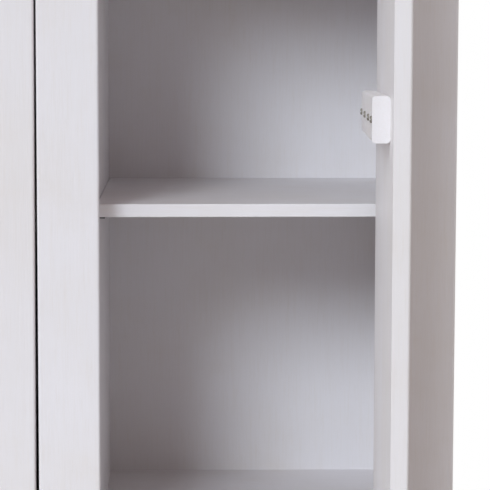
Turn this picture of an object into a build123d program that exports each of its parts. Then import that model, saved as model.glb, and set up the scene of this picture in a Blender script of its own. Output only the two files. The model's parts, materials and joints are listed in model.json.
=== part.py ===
from build123d import *
import os

# A painted two-door apothecary cabinet with shelves behind ledged plank doors and a row of small drawers
# above them. Millimetres. X runs to the right, Y to the back and Z up.
# The origin is on the floor, in the middle of the carcass.

# ---------------------------------------------------------------- driving dimensions
carcass_width = 1006.0
carcass_depth = 545.0           # front of the face frame to the back of the back panel
total_height = 1530.0

side_thickness = 18.0
divider_thickness = 18.0
board_thickness = 18.0          # bottom board and ceiling board
back_thickness = 12.0
top_thickness = 22.0
top_overhang = 12.0

frame_thickness = 20.0
stile_width = 80.0
post_width = 80.0
muntin_width = 40.0
toe_height = 45.0               # open space under the bottom rail
bottom_rail_height = 60.0
middle_rail_height = 40.0
top_rail_height = 31.0
drawer_opening_height = 120.0
divider_setback = 6.0           # from the post's edge in to the divider's face
arris = 3.0                     # rounding on the frame's and doors' front edges
bearer_width = 40.0

shelf_thickness = 17.5
shelf_front_setback = 62.0      # from the front of the frame
shelf_end_gap = 1.0
shelf_back_gap = 1.0
lower_shelf_rise = 479.5        # bottom board to the top of the lower shelf
upper_shelf_rise = 435.0        # lower shelf to the top of the upper shelf
support_tongue = (11.0, 14.0, 2.0)      # length out of the wall, width, thickness
support_pin_radius = 2.5
support_pin_length = 8.0
support_front_inset = 3.0       # shelf front to the front support
support_back_inset = 60.0

door_height_gap = 3.0           # above and below a door
free_gap_top = 1.5              # between the post and the free edge, which is planed to a slight taper
free_gap_bottom = 4.8
stop_gap = 0.5                  # between a closed door and what it shuts against
plank_count = 4
plank_joint = 0.4               # open line between neighbouring planks
vee = 2.0                       # chamfer beside that line, on the front
tongue_length = 6.0
tongue_thickness = 6.0
tongue_play = 0.3
batten_height = 52.0
batten_thickness = 20.0
batten_free_inset = 62.0
batten_hinge_inset = 25.0
batten_end_distance = 82.0      # door end to the middle of the outer battens
batten_rounding = 4.0
door_open_angle = 85.6          # the right door stands open

hinge_length = 75.0
leaf_thickness = 1.3
leaf_play = 0.4                 # between the two closed leaves
leaf_depth = 18.5
barrel_radius = 4.0
barrel_front_gap = 0.5          # barrel to the front face
pin_radius = 1.8
running_clearance = 0.05
knuckle_count = 5
knuckle_gap = 0.3

screw_head_radius = 4.0
screw_head_height = 2.4
screw_shank_radius = 2.0
screw_bite = 12.0               # into the piece behind
screw_slot = (1.2, 1.2)         # width and depth
hinge_screw_radius = 1.3
hinge_screw_head_radius = 2.6
hinge_screw_length = 14.0
hinge_screw_pitch = 25.0
hole_clearance = 0.05

door_knob_radius = 15.0
door_knob_height = 905.0
door_knob_edge = 50.0           # from the door's free edge
drawer_knob_radius = 10.0
stop_strip_drop = 20.0          # the part of a stop strip that hangs below the middle rail
stop_strip_thickness = 18.0
magnet_radius = 6.0
magnet_depth = 4.0
plate_radius = 7.0
plate_depth = 1.2
catch_edge = 47.0               # catch to the door's free edge

drawer_gap = 1.5
drawer_front_thickness = 18.0
drawer_side_thickness = 10.0
drawer_bottom_thickness = 5.0
drawer_bottom_rise = 7.0
drawer_groove_depth = 4.0
drawer_box_inset = 1.0          # drawer side in from the front's edge
drawer_top_space = 14.0         # above a drawer's side
drawer_back_space = 30.0        # behind a drawer
guide_height = 20.0
slide_clearance = 0.5
kicker_reach = 12.0             # a kicker covers the drawer side by this much
back_screw_head_radius = 3.5
back_screw_inset = 110.0

# ---------------------------------------------------------------- places worked out from them
front = -carcass_depth / 2
frame_back = front + frame_thickness
back = carcass_depth / 2
back_face = back - back_thickness
outer = carcass_width / 2
side_face = outer - side_thickness
stile_edge = outer - stile_width
post_edge = post_width / 2
divider_face = post_edge - divider_setback

frame_top = total_height - top_thickness
drawer_top = frame_top - top_rail_height
drawer_floor = drawer_top - drawer_opening_height
door_top_level = drawer_floor - middle_rail_height
floor_level = toe_height + bottom_rail_height
ceiling_face = drawer_floor - board_thickness
muntin_edge = (post_edge + stile_edge - muntin_width) / 2
shelf_tops = (floor_level + lower_shelf_rise, floor_level + lower_shelf_rise + upper_shelf_rise)

door_bottom = floor_level + door_height_gap
door_top = door_top_level - door_height_gap
door_middle = (door_bottom + door_top) / 2
door_thickness = frame_thickness - stop_gap
door_back = front + door_thickness
hinge_gap = 2 * leaf_thickness + leaf_play
door_hinge_edge = -stile_edge + hinge_gap
free_edge_top = -post_edge - free_gap_top
free_edge_bottom = -post_edge - free_gap_bottom
plank_width = (free_edge_top - door_hinge_edge) / plank_count
batten_levels = (door_bottom + batten_end_distance, door_middle, door_top - batten_end_distance)
pivot_x = -stile_edge + hinge_gap / 2
pivot_y = front - barrel_radius - barrel_front_gap
catch_level = door_top_level - stop_strip_drop / 2


# ---------------------------------------------------------------- small tools
def block(x, y, z):
    """A board between two values along each axis."""
    centre = Pos((x[0] + x[1]) / 2, (y[0] + y[1]) / 2, (z[0] + z[1]) / 2)
    return centre * Box(abs(x[1] - x[0]), abs(y[1] - y[0]), abs(z[1] - z[0]))


def rod(start, direction, radius, length):
    """A round bar that starts at a point and runs along a direction."""
    plane = Plane(origin=start, z_dir=direction)
    return plane * Cylinder(radius, length, align=(Align.CENTER, Align.CENTER, Align.MIN))


def mirrored(shape):
    return mirror(shape, about=Plane.YZ)


def both_sides(shape):
    return [shape, mirrored(shape)]


def save(name, *shapes):
    """Writes one node. Several shapes make a group of separate solids."""
    solids = [solid for shape in shapes for solid in shape.solids()]
    export_step(solids[0] if len(solids) == 1 else Compound(solids), f"parts/{name}.step")


def eased(board, edge_x, inward, levels):
    """Rounds a front upright edge of a board between two heights. inward points into the wood, +1 or -1."""
    middle_x = edge_x + inward * arris
    waste = block((edge_x - inward, middle_x), (front - 1, front + arris), levels)
    core = Pos(middle_x, front + arris, levels[0]) * Cylinder(
        arris, levels[1] - levels[0], align=(Align.CENTER, Align.CENTER, Align.MIN)
    )
    return board - (waste - core)


def rounded_front(board, radius, top=True, bottom=True):
    """Rounds the long front edges of a level board."""
    edges = board.edges().filter_by(Axis.X).group_by(Axis.Y)[0].sort_by(Axis.Z)
    chosen = ([edges[0]] if bottom else []) + ([edges[-1]] if top else [])
    return fillet(chosen, radius)


# ---------------------------------------------------------------- carcass
def shelf_pin_places(wall_x, outward):
    """Where the shelf supports stand in one wall: start point and direction of each tongue."""
    ys = (
        front + shelf_front_setback + support_front_inset + support_tongue[1] / 2,
        back_face - shelf_back_gap - support_back_inset,
    )
    return [((wall_x, y, top - shelf_thickness), outward) for top in shelf_tops for y in ys]


def shelf_pin(place, radius, length):
    (x, y, z), outward = place
    return rod((x, y, z - support_pin_radius), (-outward, 0, 0), radius, length)


def shelf_support(place):
    """A flat tongue under the shelf on a round pin in the wall."""
    (x, y, z), outward = place
    length, wide, thick = support_tongue
    tongue = block((x, x + outward * length), (y - wide / 2, y + wide / 2), (z - thick, z))
    root = rod((x, y, z - support_pin_radius), (outward, 0, 0), support_pin_radius, 1.5)
    return tongue + root + shelf_pin(place, support_pin_radius, support_pin_length)


def with_pin_holes(wall, places):
    hole_length = support_pin_length + 1
    return wall - [shelf_pin(p, support_pin_radius + hole_clearance, hole_length) for p in places]


def back_screw_places():
    """Screws through the back panel into the bottom board, the ceiling board and the dividers."""
    xs = (back_screw_inset, side_face - back_screw_inset)
    edge_levels = (floor_level - board_thickness / 2, drawer_floor - board_thickness / 2)
    upright_levels = (shelf_tops[0] - back_screw_inset, shelf_tops[1] - back_screw_inset)
    places = [(x, z) for x in xs for z in edge_levels]
    places += [(divider_face - divider_thickness / 2, z) for z in upright_levels]
    return places + [(-x, z) for x, z in places]


def back_screw(place, clearance=0.0):
    x, z = place
    head_depth = 2.0
    bite = back_thickness + screw_bite
    head = rod((x, back, z), (0, -1, 0), back_screw_head_radius + clearance, head_depth)
    return head + rod((x, back, z), (0, -1, 0), screw_shank_radius + clearance, bite)


def make_carcass():
    back_holes = [back_screw(p, hole_clearance) for p in back_screw_places()]
    inside_y = (frame_back, back_face)
    side = block((side_face, outer), (frame_back, back), (0, frame_top))
    side = with_pin_holes(side, shelf_pin_places(side_face, -1))
    save("side_right", side)
    save("side_left", mirrored(side))
    divider = block((divider_face - divider_thickness, divider_face), inside_y, (floor_level, ceiling_face))
    divider = with_pin_holes(divider, shelf_pin_places(divider_face, 1)) - back_holes
    save("divider_right", divider)
    save("divider_left", mirrored(divider))
    bottom = block((-side_face, side_face), inside_y, (floor_level - board_thickness, floor_level))
    save("bottom_board", bottom - back_holes)
    ceiling = block((-side_face, side_face), inside_y, (ceiling_face, drawer_floor))
    save("ceiling_board", ceiling - back_holes)
    panel = block((-side_face, side_face), (back_face, back), (floor_level - board_thickness, frame_top))
    save("back_panel", panel - back_holes)
    save("back_screws", *[back_screw(p) for p in back_screw_places()])
    bearer_levels = (0, floor_level - board_thickness)
    save("centre_bearer", block((-bearer_width / 2, bearer_width / 2), inside_y, bearer_levels))
    reach = outer + top_overhang
    top = block((-reach, reach), (front - top_overhang, back), (frame_top, total_height))
    rim = top.edges().filter_by(Axis.X).group_by(Axis.Y)[0] + top.edges().filter_by(Axis.Y)
    save("top_board", fillet(rim, arris))


# ---------------------------------------------------------------- face frame
def hinge_screw_levels():
    return [z + step * hinge_screw_pitch for z in batten_levels for step in (-1, 0, 1)]


def hinge_screw(level, edge_x, into, clearance=0.0):
    """A flush screw through a hinge leaf. edge_x is the face of the wood, into (+1 or -1) points into it."""
    y = front + leaf_depth / 2 + 1
    start = (edge_x - into * leaf_thickness, y, level)
    head = rod(start, (into, 0, 0), hinge_screw_head_radius + clearance, leaf_thickness)
    return head + rod(start, (into, 0, 0), hinge_screw_radius + clearance, hinge_screw_length)


def make_frame():
    y = (front, frame_back)
    openings = ((floor_level, door_top_level), (drawer_floor, drawer_top))
    stile = block((-outer, -stile_edge), y, (0, frame_top))
    stile = eased(stile, -outer, 1, (0, frame_top))
    for levels in openings:
        stile = eased(stile, -stile_edge, -1, levels)
    stile -= [hinge_screw(z, -stile_edge, -1, hole_clearance) for z in hinge_screw_levels()]
    save("frame_stile_left", stile)
    save("frame_stile_right", mirrored(stile))
    post = block((-post_edge, post_edge), y, (floor_level, drawer_top))
    for levels in openings:
        post = eased(eased(post, -post_edge, 1, levels), post_edge, -1, levels)
    save("frame_post", post)
    rail_x = (-stile_edge, stile_edge)
    save("frame_bottom_rail", rounded_front(block(rail_x, y, (toe_height, floor_level)), arris))
    save("frame_top_rail", rounded_front(block(rail_x, y, (drawer_top, frame_top)), arris, top=False))
    middle = rounded_front(block((post_edge, stile_edge), y, (door_top_level, drawer_floor)), arris)
    save("frame_middle_rails", *both_sides(middle))
    muntin_x = (muntin_edge, muntin_edge + muntin_width)
    muntin = block(muntin_x, y, (drawer_floor, drawer_top))
    for edge_x, inward in ((muntin_x[0], 1), (muntin_x[1], -1)):
        muntin = eased(muntin, edge_x, inward, (drawer_floor, drawer_top))
    save("frame_muntins", *both_sides(muntin))


# ---------------------------------------------------------------- shelves
def make_shelves():
    x = (divider_face + shelf_end_gap, side_face - shelf_end_gap)
    y = (front + shelf_front_setback, back_face - shelf_back_gap)
    for level_name, top in zip(("lower", "upper"), shelf_tops):
        shelf = rounded_front(block(x, y, (top - shelf_thickness, top)), 1.0)
        save(f"shelf_{level_name}_right", shelf)
        save(f"shelf_{level_name}_left", mirrored(shelf))
    supports = [shelf_support(p) for p in shelf_pin_places(divider_face, 1) + shelf_pin_places(side_face, -1)]
    save("shelf_supports", *[shape for support in supports for shape in both_sides(support)])


# ---------------------------------------------------------------- doors, built closed on the left
def plank(number):
    """One upright board, grooved on the hinge side and tongued on the free side, with a V joint in front."""
    grooved, tongued = number > 0, number < plank_count - 1
    left = door_hinge_edge + number * plank_width + (plank_joint / 2 if grooved else 0)
    right = door_hinge_edge + (number + 1) * plank_width - (plank_joint / 2 if tongued else 0)
    middle = front + door_thickness / 2
    groove = tongue_thickness / 2 + tongue_play
    outline = [(left + (vee if grooved else 0), front), (right - (vee if tongued else 0), front)]
    if tongued:
        outline += [(right, front + vee), (right, middle - tongue_thickness / 2)]
        outline += [(right + tongue_length, middle - tongue_thickness / 2)]
        outline += [(right + tongue_length, middle + tongue_thickness / 2)]
        outline += [(right, middle + tongue_thickness / 2)]
    outline += [(right, door_back), (left, door_back)]
    if grooved:
        depth = tongue_length + tongue_play
        outline += [(left, middle + groove), (left + depth, middle + groove)]
        outline += [(left + depth, middle - groove), (left, middle - groove), (left, front + vee)]
    board = Pos(0, 0, door_bottom) * extrude(Polygon(*outline, align=None), amount=door_top - door_bottom)
    if not tongued:
        corners = [(free_edge_top, door_top), (free_edge_bottom, door_bottom)]
        corners += [(free_edge_top + plank_width, door_bottom), (free_edge_top + plank_width, door_top)]
        wedge = extrude(Plane.XZ * Polygon(*corners, align=None), amount=carcass_depth, both=True)
        board -= wedge
    return board


def rounded_upright(board, side):
    """Rounds the long front edge on one side of a plank: side is -1 for the hinge edge, 0 for the free edge."""
    uprights = board.edges().filter_by(lambda edge: edge.length > (door_top - door_bottom) * 0.99)
    front_edges = uprights.group_by(Axis.Y)[0].sort_by(Axis.X)
    return fillet(front_edges[0] if side < 0 else front_edges[-1], arris)


def batten_screw_places():
    """One screw in the middle of each plank, kept on the batten, at every batten."""
    low = door_hinge_edge + batten_hinge_inset + 2 * screw_head_radius
    high = free_edge_top - batten_free_inset - 2 * screw_head_radius
    xs = [door_hinge_edge + (i + 0.5) * plank_width for i in range(plank_count)]
    return [(min(max(x, low), high), z) for x in xs for z in batten_levels]


def batten_shank(place, clearance=0.0):
    x, z = place
    start = (x, door_back + batten_thickness, z)
    return rod(start, (0, -1, 0), screw_shank_radius + clearance, batten_thickness + screw_bite)


def batten_screw(place):
    """A slotted pan-head screw."""
    x, z = place
    start = (x, door_back + batten_thickness, z)
    head = rod(start, (0, 1, 0), screw_head_radius, screw_head_height)
    head = fillet(head.edges().group_by(Axis.Y)[-1], screw_head_height * 0.6)
    slot_y = start[1] + screw_head_height - screw_slot[1]
    slot_x = (x - screw_head_radius, x + screw_head_radius)
    slot_z = (z - screw_slot[0] / 2, z + screw_slot[0] / 2)
    slot = block(slot_x, (slot_y, slot_y + screw_head_height), slot_z)
    return (head - slot) + batten_shank(place)


def knob(x, z, radius, tenon_length):
    """A turned mushroom knob with a round tenon that is glued into the wood behind it."""
    neck = radius * 0.42
    foot = rod((x, front, z), (0, -1, 0), radius * 0.6, radius * 0.2)
    stem = rod((x, front, z), (0, -1, 0), neck, radius)
    head = rod((x, front - radius, z), (0, -1, 0), radius, radius * 0.8)
    head = fillet(head.edges(), radius * 0.36)
    return foot + stem + head + knob_tenon(x, z, radius, tenon_length)


def knob_tenon(x, z, radius, tenon_length, clearance=0.0):
    return rod((x, front, z), (0, 1, 0), radius * 0.33 + clearance, tenon_length)


def hinge_leaf(level, wood_x, into, first):
    """A leaf on the face of the wood at wood_x, with every second knuckle from first on. into points into the wood."""
    low = level - hinge_length / 2
    face = (wood_x, wood_x - into * leaf_thickness)
    leaf = block(face, (front, front + leaf_depth), (low, low + hinge_length))
    step = hinge_length / knuckle_count
    for number in range(first, knuckle_count, 2):
        start = low + number * step + knuckle_gap / 2
        leaf += rod((pivot_x, pivot_y, start), (0, 0, 1), barrel_radius, step - knuckle_gap)
        leaf += block(face, (pivot_y, front), (start, start + step - knuckle_gap))
    bore = pin_radius + (running_clearance if first else 0)
    leaf -= rod((pivot_x, pivot_y, low), (0, 0, 1), bore, hinge_length)
    return leaf - [hinge_screw(z, wood_x, into, hole_clearance) for z in hinge_screw_levels()]


def hinge_pin(level):
    """A pin with a low domed head at each end of the barrel."""
    low = level - hinge_length / 2
    head_radius, head_height = pin_radius + 1.4, 2.0
    pin = rod((pivot_x, pivot_y, low), (0, 0, 1), pin_radius, hinge_length)
    for z, up in ((low + knuckle_gap / 2, -1), (low + hinge_length - knuckle_gap / 2, 1)):
        head = rod((pivot_x, pivot_y, z), (0, 0, up), head_radius, head_height)
        pin += fillet(head.edges().sort_by(Axis.Z)[-1 if up > 0 else 0], head_height * 0.7)
    return pin


def catch_disc(y, radius, thickness):
    """A round piece of the catch, from y towards the back."""
    return rod((free_edge_top - catch_edge, y, catch_level), (0, 1, 0), radius, thickness)


def door_pieces():
    knob_x = free_edge_top - door_knob_edge
    shanks = [batten_shank(p, hole_clearance) for p in batten_screw_places()]
    holes = shanks + [hinge_screw(z, door_hinge_edge, 1, hole_clearance) for z in hinge_screw_levels()]
    tenon_length = door_thickness * 0.7
    holes += [knob_tenon(knob_x, door_knob_height, door_knob_radius, tenon_length, hole_clearance)]
    holes += [catch_disc(door_back - plate_depth, plate_radius + hole_clearance, plate_depth + 1)]
    planks = [plank(i) for i in range(plank_count)]
    planks[0] = rounded_upright(planks[0], -1)
    planks[-1] = rounded_upright(planks[-1], 0)
    batten_x = (door_hinge_edge + batten_hinge_inset, free_edge_top - batten_free_inset)
    battens = []
    for level in batten_levels:
        z = (level - batten_height / 2, level + batten_height / 2)
        batten = block(batten_x, (door_back, door_back + batten_thickness), z)
        battens.append(fillet(batten.edges().filter_by(Axis.X), batten_rounding) - shanks)
    return {
        "planks": [board - holes for board in planks],
        "battens": battens,
        "batten_screws": [batten_screw(p) for p in batten_screw_places()],
        "hinge_leaves": [hinge_leaf(z, door_hinge_edge, 1, 1) for z in batten_levels],
        "hinge_screws": [hinge_screw(z, door_hinge_edge, 1) for z in hinge_screw_levels()],
        "knob": [knob(knob_x, door_knob_height, door_knob_radius, tenon_length)],
        "catch_plate": [catch_disc(door_back - plate_depth, plate_radius, plate_depth)],
    }


def make_doors():
    hinge_line = Axis((-pivot_x, pivot_y, 0), (0, 0, 1))
    for name, shapes in door_pieces().items():
        save(f"door_left_{name}", *shapes)
        save(f"door_right_{name}", *[mirrored(s).rotate(hinge_line, door_open_angle) for s in shapes])


def make_door_fittings():
    """What the frame holds for the doors: hinge halves, pins and screws, stop strips and magnets."""
    leaves = [hinge_leaf(z, -stile_edge, -1, 0) for z in batten_levels]
    save("hinge_frame_leaves", *[s for leaf in leaves for s in both_sides(leaf)])
    save("hinge_pins", *[s for z in batten_levels for s in both_sides(hinge_pin(z))])
    screws = [hinge_screw(z, -stile_edge, -1) for z in hinge_screw_levels()]
    save("hinge_frame_screws", *[s for screw in screws for s in both_sides(screw)])
    strip_x = (-side_face, -divider_face)
    strip_z = (door_top_level - stop_strip_drop, ceiling_face)
    strip = block(strip_x, (frame_back, frame_back + stop_strip_thickness), strip_z)
    strip -= catch_disc(frame_back, magnet_radius + hole_clearance, magnet_depth)
    save("door_stops", *both_sides(strip))
    save("catch_magnets", *both_sides(catch_disc(frame_back, magnet_radius, magnet_depth)))


# ---------------------------------------------------------------- drawers
def drawer_openings():
    """Left and right edges of the four drawer openings, from left to right."""
    near = (post_edge, muntin_edge)
    far = (muntin_edge + muntin_width, stile_edge)
    return [(-far[1], -far[0]), (-near[1], -near[0]), near, far]


def make_drawer(number, opening):
    x = (opening[0] + drawer_gap, opening[1] - drawer_gap)
    z = (drawer_floor + drawer_gap, drawer_top - drawer_gap)
    middle_x, middle_z = sum(opening) / 2, (drawer_floor + drawer_top) / 2
    face = block(x, (front, front + drawer_front_thickness), z)
    face = fillet(face.faces().sort_by(Axis.Y)[0].edges(), 1.5)
    tenon_length = drawer_front_thickness * 0.7
    face -= knob_tenon(middle_x, middle_z, drawer_knob_radius, tenon_length, hole_clearance)
    save(f"drawer_{number}_front", face)
    save(f"drawer_{number}_knob", knob(middle_x, middle_z, drawer_knob_radius, tenon_length))

    box_x = (x[0] + drawer_box_inset, x[1] - drawer_box_inset)
    box_y = (front + drawer_front_thickness, back_face - drawer_back_space)
    box_z = (drawer_floor + slide_clearance, drawer_top - drawer_top_space)
    inner_x = (box_x[0] + drawer_side_thickness, box_x[1] - drawer_side_thickness)
    bottom_z = (box_z[0] + drawer_bottom_rise, box_z[0] + drawer_bottom_rise + drawer_bottom_thickness)
    groove_x = (inner_x[0] - drawer_groove_depth, inner_x[1] + drawer_groove_depth)
    groove = block(groove_x, box_y, bottom_z)
    left = block((box_x[0], inner_x[0]), box_y, box_z) - groove
    right = block((inner_x[1], box_x[1]), box_y, box_z) - groove
    rear = block(inner_x, (box_y[1] - drawer_side_thickness, box_y[1]), (bottom_z[1], box_z[1]))
    save(f"drawer_{number}_box", left, right, rear)
    save(f"drawer_{number}_bottom", groove)


def make_drawer_guides():
    """Strips that keep the drawers straight, and kickers over them that stop them tipping."""
    edge = drawer_gap + drawer_box_inset - slide_clearance
    strips = [
        (-post_edge - edge, post_edge + edge),
        (muntin_edge - edge, muntin_edge + muntin_width + edge),
        (stile_edge - edge, side_face),
    ]
    strips += [(-b, -a) for a, b in strips[1:]]
    y = (frame_back, back_face)
    save("drawer_guides", *[block(x, y, (drawer_floor, drawer_floor + guide_height)) for x in strips])
    kickers = []
    for low, high in strips:
        reach_low = kicker_reach if low > -side_face else 0
        reach_high = kicker_reach if high < side_face else 0
        kickers.append(block((low - reach_low, high + reach_high), y, (drawer_top, frame_top)))
    save("drawer_kickers", *kickers)


make_carcass()
make_frame()
make_shelves()
make_doors()
make_door_fittings()
for number, opening in enumerate(drawer_openings(), start=1):
    make_drawer(number, opening)
make_drawer_guides()
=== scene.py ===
# %% [markdown]
# # An apothecary cabinet in old white paint
# The cabinet is a face-framed cupboard: two plank doors over shelved bays, with small drawers above.
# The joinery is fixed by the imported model. What is made here is its finish: paint that has been brushed
# over pine, bare pine where a joiner would not paint, and blackened iron fittings.

# %% Load the cabinet
import json
import math
import bmesh
import bpy
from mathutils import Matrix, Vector


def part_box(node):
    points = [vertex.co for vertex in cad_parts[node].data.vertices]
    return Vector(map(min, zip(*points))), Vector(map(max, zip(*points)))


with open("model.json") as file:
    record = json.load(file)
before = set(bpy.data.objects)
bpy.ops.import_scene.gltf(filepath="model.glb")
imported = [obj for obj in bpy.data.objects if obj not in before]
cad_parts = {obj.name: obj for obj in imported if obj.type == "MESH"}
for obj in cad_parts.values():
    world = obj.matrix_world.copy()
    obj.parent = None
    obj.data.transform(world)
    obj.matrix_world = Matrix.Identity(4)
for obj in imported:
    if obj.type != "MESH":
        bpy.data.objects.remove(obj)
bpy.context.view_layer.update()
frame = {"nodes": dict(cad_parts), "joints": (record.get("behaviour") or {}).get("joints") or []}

nodes = frame["nodes"]
joints = {joint["name"]: joint for joint in frame["joints"]}

# %% [markdown]
# ## Writing shader maths
# A finish is a network of nodes. Laying it out by hand takes a line for every node and every link, so two
# small classes do it: `Sock` is one output, and arithmetic on it adds Math nodes, and `Finish` is one
# material, whose `node` method adds any other node. Colours are never put through a Math node, which
# would turn them grey: they are blended by `mix`.


# %% Sockets that can be added and multiplied
class Sock:
    """One output socket of a finish. Sums, products, powers and > on it add Math nodes."""

    def __init__(self, finish, socket):
        self.finish = finish
        self.socket = socket

    def math(self, operation, *others, first=None):
        values = [self, *others] if first is None else [first, self]
        return self.finish.node("ShaderNodeMath", {"operation": operation}, dict(enumerate(values)))

    def __add__(self, other):
        return self.math("ADD", other)

    def __sub__(self, other):
        return self.math("SUBTRACT", other)

    def __rsub__(self, other):
        return self.math("SUBTRACT", first=other)

    def __mul__(self, other):
        return self.math("MULTIPLY", other)

    def __truediv__(self, other):
        return self.math("DIVIDE", other)

    def __pow__(self, other):
        return self.math("POWER", other)

    def __gt__(self, other):
        return self.math("GREATER_THAN", other)

    __radd__ = __add__
    __rmul__ = __mul__

    def step(self, low, high):
        """0 below low and 1 above high, with a soft ramp between them."""
        settings = {"interpolation_type": "SMOOTHSTEP"}
        inputs = {"Value": self, "From Min": low, "From Max": high}
        return self.finish.node("ShaderNodeMapRange", settings, inputs)


# %% One material and its nodes
class Finish:
    """A material whose nodes are added by calls."""

    def __init__(self, name):
        self.material = bpy.data.materials.new(name)
        self.material.use_nodes = True
        self.tree = self.material.node_tree
        self.shader = self.tree.nodes["Principled BSDF"]

    def fill(self, socket, value):
        if isinstance(value, Sock):
            self.tree.links.new(value.socket, socket)
        elif socket.type == "RGBA" and len(value) == 3:
            socket.default_value = (*value, 1)
        else:
            socket.default_value = value

    def node(self, kind, settings=None, inputs=None, out=0):
        """Adds a node: its settings first, then the values or links of its sockets."""
        made = self.tree.nodes.new(kind)
        for key, value in (settings or {}).items():
            setattr(made, key, value)
        for key, value in (inputs or {}).items():
            self.fill(made.inputs[key], value)
        return Sock(self, made.outputs[out])

    def mix(self, share, low, high):
        """The colour low where share is 0 and high where it is 1."""
        settings = {"data_type": "RGBA"}
        return self.node("ShaderNodeMix", settings, {0: share, 6: low, 7: high}, out=2)

    def scaled(self, vector, factors):
        return self.node("ShaderNodeVectorMath", {"operation": "MULTIPLY"}, {0: vector, 1: factors})

    def moved(self, vector, step):
        return self.node("ShaderNodeVectorMath", {"operation": "ADD"}, {0: vector, 1: step})

    def apart(self, vector):
        """The X, Y and Z of a vector."""
        split = self.tree.nodes.new("ShaderNodeSeparateXYZ")
        self.fill(split.inputs[0], vector)
        return [Sock(self, output) for output in split.outputs]

    def together(self, x, y, z):
        return self.node("ShaderNodeCombineXYZ", {}, {0: x, 1: y, 2: z})

    def noise(self, vector, scale, detail=3.0, roughness=0.5):
        inputs = {"Vector": vector, "Scale": scale, "Detail": detail, "Roughness": roughness}
        return self.node("ShaderNodeTexNoise", {}, inputs)

    def bump(self, height, distance, strength):
        inputs = {"Height": height, "Distance": distance, "Strength": strength}
        return self.node("ShaderNodeBump", {}, inputs)

    def surface(self, **values):
        """Sets the shader's own sockets, with _ for a space in their names."""
        for key, value in values.items():
            self.fill(self.shader.inputs[key.replace("_", " ")], value)


print("a finish can be written as arithmetic")

# %% [markdown]
# ## Which way the boards run
# Brush strokes and the grain under them follow each board. A board's own space is the cabinet's, so its
# grain runs along X, Y or Z. The right door was made shut and stored open, so its boards' space is first
# turned back to shut about the hinge, and then the same words describe both doors.

# %% Board space
STRETCH = {"X": (0.05, 1, 1), "Y": (1, 0.05, 1), "Z": (1, 1, 0.05)}
right_hinge = joints["door_right_swing"]
shut_angle = math.radians(right_hinge["range_deg"][0])


def board_space(finish, turned):
    place = finish.node("ShaderNodeTexCoord", out="Object")
    if not turned:
        return place
    inputs = {"Vector": place, "Center": right_hinge["pos_m"], "Axis": right_hinge["axis"]}
    inputs["Angle"] = shut_angle
    return finish.node("ShaderNodeVectorRotate", {"rotation_type": "AXIS_ANGLE"}, inputs)


print(f"the right door stands {-math.degrees(shut_angle):.1f} degrees open")

# %% [markdown]
# ## Brushed paint on pine
# The cabinet has been painted by hand, more than once. From near, such paint shows three things: long,
# shallow ridges from the brush, the pine's grain telegraphing through as fainter and finer lines, and a
# slow unevenness in tint where coats are thin or hands have rubbed. All of it is noise. The ridges and the
# grain are stretched along the board, so their waves to the metre are counted across it; the unevenness is
# not stretched. The relief stays well under a millimetre, so that edges stay crisp.

# %% The paint's relief and tint
WARM_TINT = (0.93, 0.90, 0.84)
BRUSH_WAVES = 160
GRAIN_WAVES = 520
CLOUD_WAVES = 3.5
RUBBED_WAVES = 14
CLOUD_SHARE = 0.42
RUBBED_SHARE = 0.20
GRAIN_SHARE = 0.26
BRUSH_SHARE = 0.16
PAINT_RELIEF = 0.0005
PAINT_GLOSS = 0.42


def times(colour, tint):
    return tuple(a * b for a, b in zip(colour, tint))


def paint_layers(finish, space, along, colour, shift=None):
    """Colour, roughness and bump of brushed paint."""
    if shift is not None:
        space = finish.moved(space, finish.together(shift * 1.7, shift * 2.3, shift * 3.1))
    streaks = finish.scaled(space, STRETCH[along])
    brush = finish.noise(streaks, BRUSH_WAVES, detail=2, roughness=0.6)
    grain = finish.noise(streaks, GRAIN_WAVES, detail=3, roughness=0.65)
    cloud = finish.noise(space, CLOUD_WAVES, detail=3, roughness=0.6)
    rubbed = finish.noise(space, RUBBED_WAVES, detail=4, roughness=0.7)
    worn = cloud.step(0.35, 0.75) * CLOUD_SHARE + rubbed.step(0.5, 0.8) * RUBBED_SHARE
    tint = worn + grain.step(0.45, 0.75) * GRAIN_SHARE + brush.step(0.5, 0.8) * BRUSH_SHARE
    coat = finish.mix(tint, colour, times(colour, WARM_TINT))
    rough = 0.38 + 0.10 * rubbed + 0.06 * brush
    height = brush * 0.6 + grain * 0.4 + cloud * 1.5
    return coat, rough, height


def painted(name, along, colour, turned=False):
    finish = Finish(name)
    space = board_space(finish, turned)
    coat, rough, height = paint_layers(finish, space, along, colour)
    normal = finish.bump(height, PAINT_RELIEF, 0.7)
    finish.surface(Base_Color=coat, Roughness=rough, Normal=normal, Specular_IOR_Level=PAINT_GLOSS)
    return finish.material


WHITE = (0.820, 0.786, 0.797)
print("paint is", WHITE)

# %% [markdown]
# ## Planks
# A door is four boards side by side, each from another part of the tree and each brushed by itself. The
# board's number, counted across the door, shifts the pattern so that no stroke crosses a joint, and gives
# each board a slightly different tint.

# %% Plank paint
left_low, left_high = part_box("door_left_planks")
PLANKS = 4
PLANK_CONTRAST = 0.16
plank_width = (left_high.x - left_low.x) / PLANKS


def plank_paint(name, turned):
    finish = Finish(name)
    space = board_space(finish, turned)
    across = finish.apart(space)[0]
    from_hinge = across.math("ABSOLUTE") - abs(left_low.x)
    number = (from_hinge / -plank_width).math("FLOOR")
    coat, rough, height = paint_layers(finish, space, "Z", WHITE, shift=number)
    chance = finish.node("ShaderNodeTexWhiteNoise", {"noise_dimensions": "1D"}, {"W": number})
    coat = finish.mix(chance * PLANK_CONTRAST, coat, times(WHITE, WARM_TINT))
    normal = finish.bump(height, PAINT_RELIEF, 0.8)
    finish.surface(Base_Color=coat, Roughness=rough, Normal=normal, Specular_IOR_Level=PAINT_GLOSS)
    return finish.material


print(f"{PLANKS} planks of {plank_width * 1000:.1f} mm")

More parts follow.
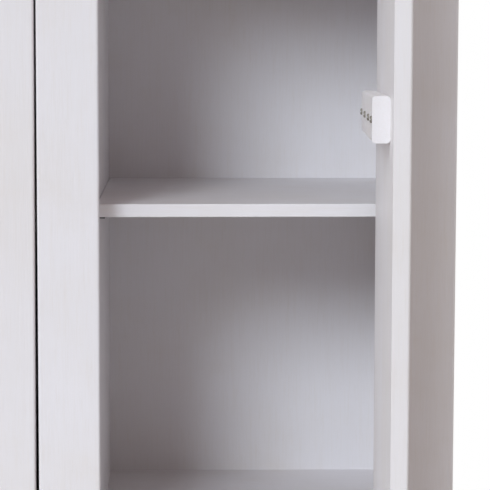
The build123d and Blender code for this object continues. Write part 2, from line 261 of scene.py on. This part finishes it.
# %% [markdown]
# ## Bare pine
# Drawer boxes, guides and the back of the back panel were never painted. Pine shows broad pale bands and
# narrow darker ones, wavy along the board. A noise stretched along the board bends the distance across it,
# and the bands are a sawtooth of that distance: soft on one side and sharp on the other, as growth rings
# are. The distance is slanted through the thickness, so that the bands turn the corner. Knots are left out.

# %% Pine
PALE_PINE = (0.68, 0.53, 0.35)
DARK_PINE = (0.47, 0.31, 0.17)
RINGS_PER_METRE = 70
RING_SHARPNESS = 2.2
BEND_WAVES = 18
BEND_IN_RINGS = 6
SLANT = 0.7
FIBRE_WAVES = 900
AGE_WAVES = 5
PINE_RELIEF = 0.0004


def pine_layers(finish, space, along):
    slow = finish.noise(finish.scaled(space, STRETCH[along]), BEND_WAVES, detail=3)
    x, y, z = finish.apart(space)
    across = {"X": y + z * SLANT, "Y": x + z * SLANT, "Z": x + y * SLANT}[along]
    rings = (across * RINGS_PER_METRE + slow * BEND_IN_RINGS).math("FRACT") ** RING_SHARPNESS
    fibres = finish.noise(finish.scaled(space, STRETCH[along]), FIBRE_WAVES, detail=2)
    age = finish.noise(space, AGE_WAVES, detail=3)
    tone = rings * 0.55 + fibres.step(0.4, 0.8) * 0.25 + age.step(0.4, 0.8) * 0.3
    wood = finish.mix(tone, PALE_PINE, DARK_PINE)
    return wood, 0.62 + fibres * 0.15, rings * -0.5 + fibres * 0.7


def bare_pine(name, along):
    finish = Finish(name)
    wood, rough, height = pine_layers(finish, board_space(finish, False), along)
    finish.surface(Base_Color=wood, Roughness=rough, Normal=finish.bump(height, PINE_RELIEF, 0.7))
    return finish.material


print("pine goes from", PALE_PINE, "to", DARK_PINE)

# %% [markdown]
# ## A panel that is painted on one side
# The back panel is painted where the bays show it and bare behind. Both finishes are laid over the whole
# board, and the place from front to back chooses between them.

# %% Back panel finish
panel_low, panel_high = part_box("back_panel")


def back_panel_finish():
    finish = Finish("back_panel_paint")
    space = board_space(finish, False)
    coat, paint_rough, paint_height = paint_layers(finish, space, "Z", WHITE)
    wood, wood_rough, wood_height = pine_layers(finish, space, "Z")
    behind = finish.apart(space)[1] > (panel_low.y + panel_high.y) / 2
    colour = finish.mix(behind, coat, wood)
    rough = paint_rough + behind * (wood_rough - paint_rough)
    height = paint_height + behind * (wood_height - paint_height)
    finish.surface(Base_Color=colour, Roughness=rough, Normal=finish.bump(height, PINE_RELIEF, 0.7))
    return finish.material


print(f"the back panel is {(panel_high.y - panel_low.y) * 1000:.1f} mm thick")

# %% [markdown]
# ## Iron fittings
# Hinges, shelf supports and most screws are blackened iron that has gone a little brown. The colour wanders
# between near black and rust brown, and where it is worn it is smoother and shows metal. The screws of the
# doors' ledges are zinc that has dulled, so they are paler, and made the same way with two other colours.
# The catches are plain nickel, dark in some places and pale in others.

# %% Iron and nickel
BLACKENED = (0.030, 0.027, 0.026)
BROWNED = (0.085, 0.055, 0.040)
DULL_ZINC = (0.30, 0.28, 0.24)
AGED_ZINC = (0.12, 0.10, 0.075)
BARE_METAL = (0.32, 0.30, 0.28)
DARK_NICKEL = (0.42, 0.41, 0.39)
PALE_NICKEL = (0.56, 0.55, 0.52)
NICKEL_WAVES = 900
PATCH_WAVES = 260
PIT_WAVES = 1400
PIT_DEPTH = 0.00008


def iron(name, wear, clean=BLACKENED, aged=BROWNED):
    finish = Finish(name)
    space = board_space(finish, False)
    patch = finish.noise(space, PATCH_WAVES, detail=4, roughness=0.7)
    fine = finish.noise(space, PIT_WAVES, detail=2)
    colour = finish.mix(patch.step(0.45, 0.75), clean, aged)
    bare = patch.step(0.62, 0.7) * wear
    colour = finish.mix(bare, colour, BARE_METAL)
    rough = 0.5 + fine * 0.2 - bare * 0.2
    normal = finish.bump(fine, PIT_DEPTH, 0.6)
    finish.surface(Base_Color=colour, Roughness=rough, Metallic=0.55 + bare * 0.4, Normal=normal)
    return finish.material


def nickel(name):
    finish = Finish(name)
    fine = finish.noise(board_space(finish, False), NICKEL_WAVES, detail=3)
    colour = finish.mix(fine, DARK_NICKEL, PALE_NICKEL)
    finish.surface(Base_Color=colour, Roughness=0.3 + fine * 0.2, Metallic=1.0)
    return finish.material


print("iron goes from", BLACKENED, "to", BROWNED)

# %% [markdown]
# ## Handing out the finishes
# Every piece gets one finish by its name. The three boards and the bottom rail are settled first. After
# them the first rule whose words are in the name decides, and a piece that no rule names is an upright.

# %% Finish for each piece
MATERIALS = {
    "upright": painted("upright_paint", "Z", WHITE),
    "level": painted("level_paint", "X", WHITE),
    "batten_left": painted("batten_paint_left", "X", WHITE),
    "batten_right": painted("batten_paint_right", "X", WHITE, turned=True),
    "planks_left": plank_paint("plank_paint_left", False),
    "planks_right": plank_paint("plank_paint_right", True),
    "back": back_panel_finish(),
    "pine_x": bare_pine("pine_level", "X"),
    "pine_y": bare_pine("pine_deep", "Y"),
    "iron": iron("blackened_iron", 0.35),
    "zinc": iron("dull_zinc", 0.5, DULL_ZINC, AGED_ZINC),
    "hinge_iron": iron("hinge_iron", 0.8),
    "nickel": nickel("dull_nickel"),
}
RULES = [
    ("catch", "nickel"),
    ("hinge", "hinge_iron"),
    ("batten_screws", "zinc"),
    ("screw", "iron"),
    ("support", "iron"),
    ("left_planks", "planks_left"),
    ("right_planks", "planks_right"),
    ("left_battens", "batten_left"),
    ("right_battens", "batten_right"),
    ("back_panel", "back"),
    ("_box", "pine_y"),
    ("_bottom", "pine_x"),
    ("guides", "pine_y"),
    ("kickers", "pine_y"),
    ("bearer", "pine_y"),
    ("rail", "level"),
    ("shelf", "level"),
    ("board", "level"),
    ("stops", "level"),
    ("_front", "level"),
]


def finish_of(name):
    if name.endswith("_board") or name == "frame_bottom_rail":
        return "level"
    return next((finish for part, finish in RULES if part in name), "upright")


for name, piece in nodes.items():
    piece.data.materials.clear()
    piece.data.materials.append(MATERIALS[finish_of(name)])
    print(f"{name}: {finish_of(name)}")


# %% [markdown]
# ## Floor
# The floor is pale and plain. Away from the cabinet it fades into the white around it, so that it has no
# edge from any side.

# %% Floor
FLOOR_REACH = 6.0
FLOOR_CENTRE = (0.0, -0.4, 0.0)
FADE = (0.70, 1.15)
PALE_FLOOR = (0.92, 0.915, 0.91)


def make_floor():
    mesh = bpy.data.meshes.new("floor")
    shape = bmesh.new()
    bmesh.ops.create_grid(shape, x_segments=2, y_segments=2, size=FLOOR_REACH)
    shape.to_mesh(mesh)
    floor = bpy.data.objects.new("floor", mesh)
    bpy.context.scene.collection.objects.link(floor)
    finish = Finish("floor_paint")
    place = finish.node("ShaderNodeTexCoord", out="Object")
    ends = {0: place, 1: FLOOR_CENTRE}
    reach = finish.node("ShaderNodeVectorMath", {"operation": "DISTANCE"}, ends, out=1)
    finish.surface(Base_Color=PALE_FLOOR, Roughness=0.7)
    glow = finish.node("ShaderNodeEmission", {}, {"Color": (1, 1, 1), "Strength": 1.0})
    seen = finish.node("ShaderNodeLightPath", out="Is Camera Ray")
    share = reach.step(*FADE) * seen
    plain = Sock(finish, finish.shader.outputs[0])
    both = finish.node("ShaderNodeMixShader", {}, {0: share, 1: plain, 2: glow})
    finish.fill(finish.tree.nodes["Material Output"].inputs["Surface"], both)
    mesh.materials.append(finish.material)
    print(f"the floor fades from {FADE[0]} to {FADE[1]} m out")


make_floor()

# %% [markdown]
# ## Light
# One large soft lamp stands high on the left, behind the viewer. It is far away, so a sun with a wide disc
# stands for it: the disc's width sets how soft the edges of the shadows are. A pale screen stands low at
# each side and another hangs high on the left, and nearly all the rest in front is dark. That is what makes
# the inside of an open cupboard fall off towards a warm grey. The screens are painted on the world, by how
# far left or right and how high a direction points. Each edge is a pair: where the change starts and where
# it ends, from -1 to 1. A camera ray sees plain white.

# %% Key lamp and screens
KEY_TRAVEL = Vector((0.40, 1.0, -0.50)).normalized()
KEY_ANGLE = 20
KEY_ENERGY = 1.6
KEY_COLOUR = (0.80, 0.89, 0.98)
SCREEN_STRENGTH = 1.4
LEFT_SCREEN = (0.76, 0.76, 0.80)
RIGHT_SCREEN = (0.66, 0.70, 0.68)
HIGH_SCREEN = (0.95, 1.0, 1.02)
LOW_SHADE = (0.03, 0.02, 0.02)
HIGH_SHADE = (0.15, 0.08, 0.07)
BEHIND = (0.30, 0.29, 0.28)
LEFT_EDGE = (-1.0, -0.5)
RIGHT_EDGE = (0.2, 0.5)
HIGH_EDGE = (-0.6, 0.05)
HORIZON = (0.12, 0.55)
BEHIND_EDGE = (-0.1, 0.25)


class Surroundings(Finish):
    """The world, with the same words as a finish."""

    def __init__(self, name):
        world = bpy.data.worlds.new(name)
        world.use_nodes = True
        bpy.context.scene.world = world
        self.tree = world.node_tree
        self.shader = self.tree.nodes["Background"]


def make_key():
    lamp = bpy.data.lights.new("key", "SUN")
    lamp.angle = math.radians(KEY_ANGLE)
    lamp.energy = KEY_ENERGY
    lamp.color = KEY_COLOUR
    key = bpy.data.objects.new("key", lamp)
    key.rotation_euler = KEY_TRAVEL.to_track_quat("-Z", "Y").to_euler()
    bpy.context.scene.collection.objects.link(key)
    print("light travels along", [round(v, 2) for v in KEY_TRAVEL])


def make_surroundings():
    around = Surroundings("surroundings")
    x, y, z = around.apart(around.node("ShaderNodeTexCoord", out="Generated"))
    low = around.mix(x.step(*LEFT_EDGE), LEFT_SCREEN, LOW_SHADE)
    low = around.mix(x.step(*RIGHT_EDGE), low, RIGHT_SCREEN)
    high = around.mix(x.step(*HIGH_EDGE), HIGH_SCREEN, HIGH_SHADE)
    in_front = around.mix(z.step(*HORIZON), low, high)
    shed = around.mix(y.step(*BEHIND_EDGE), in_front, BEHIND)
    screens = around.node("ShaderNodeBackground", {}, {"Color": shed, "Strength": SCREEN_STRENGTH})
    around.surface(Color=(1, 1, 1))
    seen = around.node("ShaderNodeLightPath", out="Is Camera Ray")
    white = Sock(around, around.shader.outputs[0])
    both = around.node("ShaderNodeMixShader", {}, {0: seen, 1: screens, 2: white})
    around.fill(around.tree.nodes["World Output"].inputs["Surface"], both)
    print("surroundings have", len(around.tree.nodes), "nodes")


make_key()
make_surroundings()
bpy.context.scene.view_settings.view_transform = "Standard"

# %% [markdown]
# ## Camera
# The viewer stands a little right of the post, about two metres off, with the eye at half the cabinet's
# height, and looks in at the open bay.

# %% Camera
EYE = Vector((0.131, -2.392, 0.78))
LENS = 121
LOOK_DOWN = 4.5
TURN = -0.93
SHIFT = (0.10, -0.12)
SENSOR = 36


def make_camera():
    view = bpy.data.cameras.new("view")
    view.lens = LENS
    view.sensor_width = SENSOR
    view.shift_x, view.shift_y = SHIFT
    camera = bpy.data.objects.new("view", view)
    camera.location = EYE
    camera.rotation_euler = (math.radians(90 - LOOK_DOWN), 0, math.radians(TURN))
    bpy.context.scene.collection.objects.link(camera)
    bpy.context.scene.camera = camera
    print(f"the eye is {EYE.z:.2f} m up and looks {LOOK_DOWN} degrees down")


make_camera()
